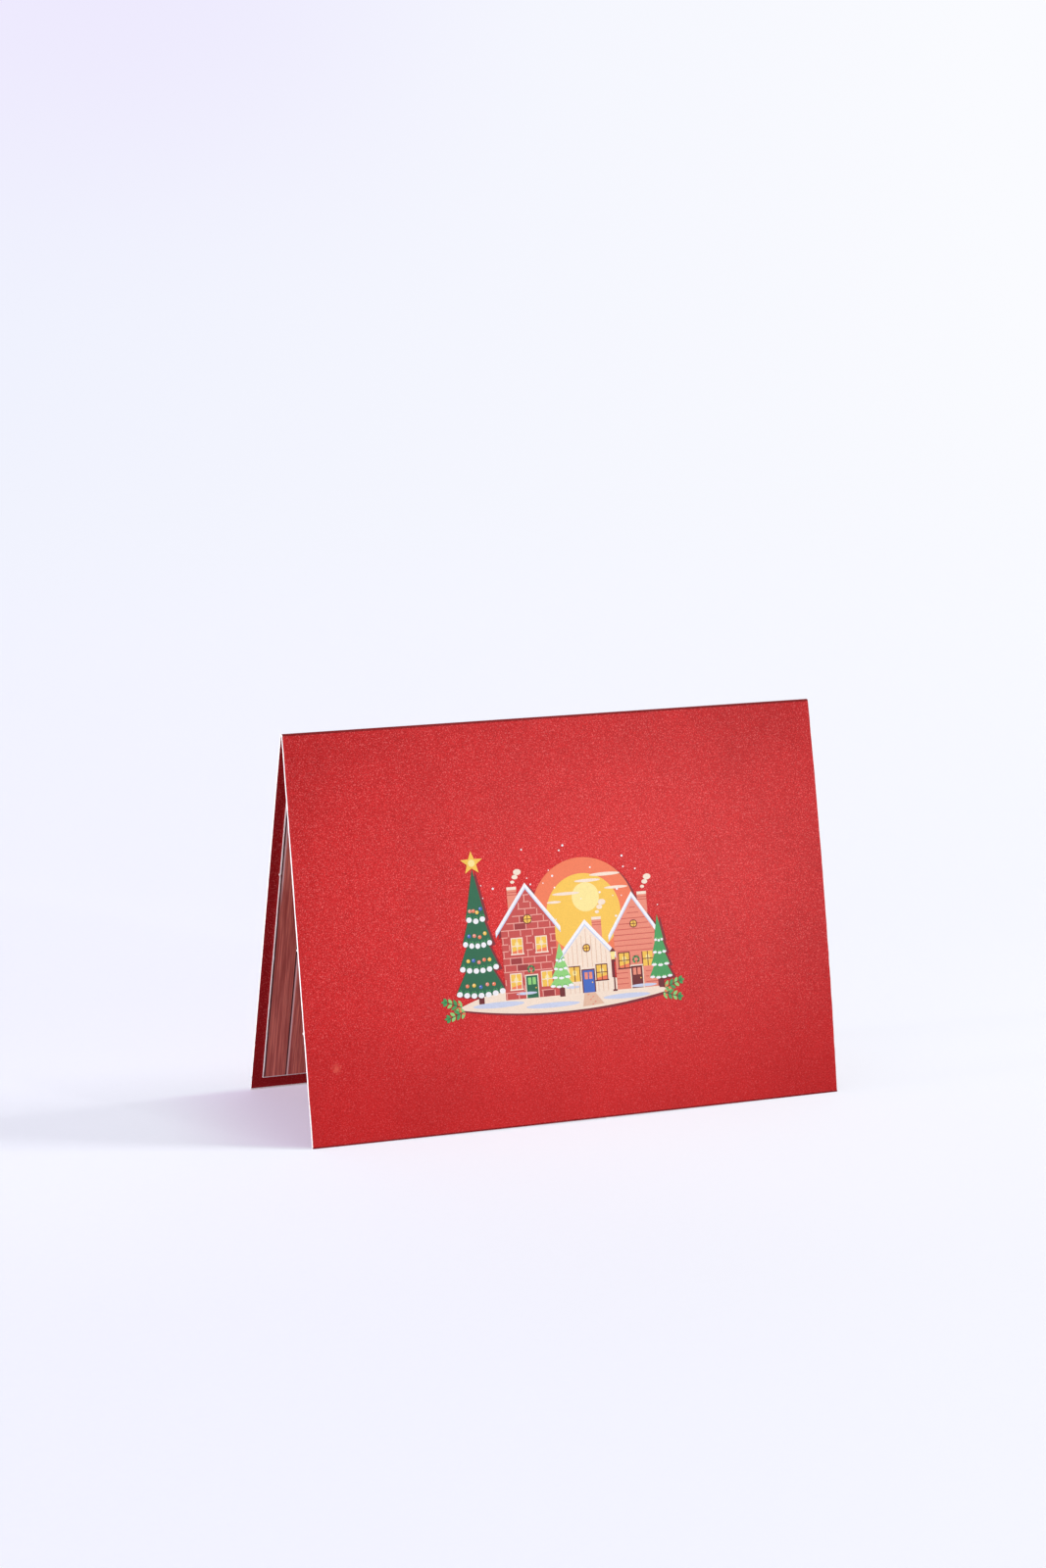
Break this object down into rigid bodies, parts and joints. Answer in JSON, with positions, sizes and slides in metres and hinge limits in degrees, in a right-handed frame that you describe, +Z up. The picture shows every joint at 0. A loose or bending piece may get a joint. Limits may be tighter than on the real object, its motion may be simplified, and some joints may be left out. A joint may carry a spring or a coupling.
{
  "type": "greeting card",
  "caption": "Folded greeting card that stands as a tent: pearl red cover with a small printed winter street on its front, and a wood-print liner glued inside.",
  "frame": {"origin": "centre of the standing card's footprint, on the floor", "axes": "+X along the width, to the right of someone who faces the front; +Y from the front panel to the back panel; +Z up"},
  "size_m": [0.1781, 0.0649, 0.1231],
  "materials": {
    "cover_card": "pearlescent satin",
    "liner_card": "matte printed wood planks",
    "print_wine": "satin ink",
    "print_maroon": "satin ink",
    "print_brick": "satin ink",
    "print_salmon": "satin ink",
    "print_orange": "satin ink",
    "print_yellow": "satin ink",
    "print_cream": "satin ink",
    "print_white": "satin ink",
    "print_dark_green": "satin ink",
    "print_green": "satin ink",
    "print_light_green": "satin ink",
    "print_blue": "satin ink"
  },
  "bodies": {
    "root": {"cover": "cover_card", "liner": "liner_card", "print_wine": "print_wine", "print_maroon": "print_maroon", "print_brick": "print_brick", "print_salmon": "print_salmon", "print_orange": "print_orange", "print_yellow": "print_yellow", "print_cream": "print_cream", "print_white": "print_white", "print_dark_green": "print_dark_green", "print_green": "print_green", "print_light_green": "print_light_green", "print_blue": "print_blue"}
  },
  "joints": []
}
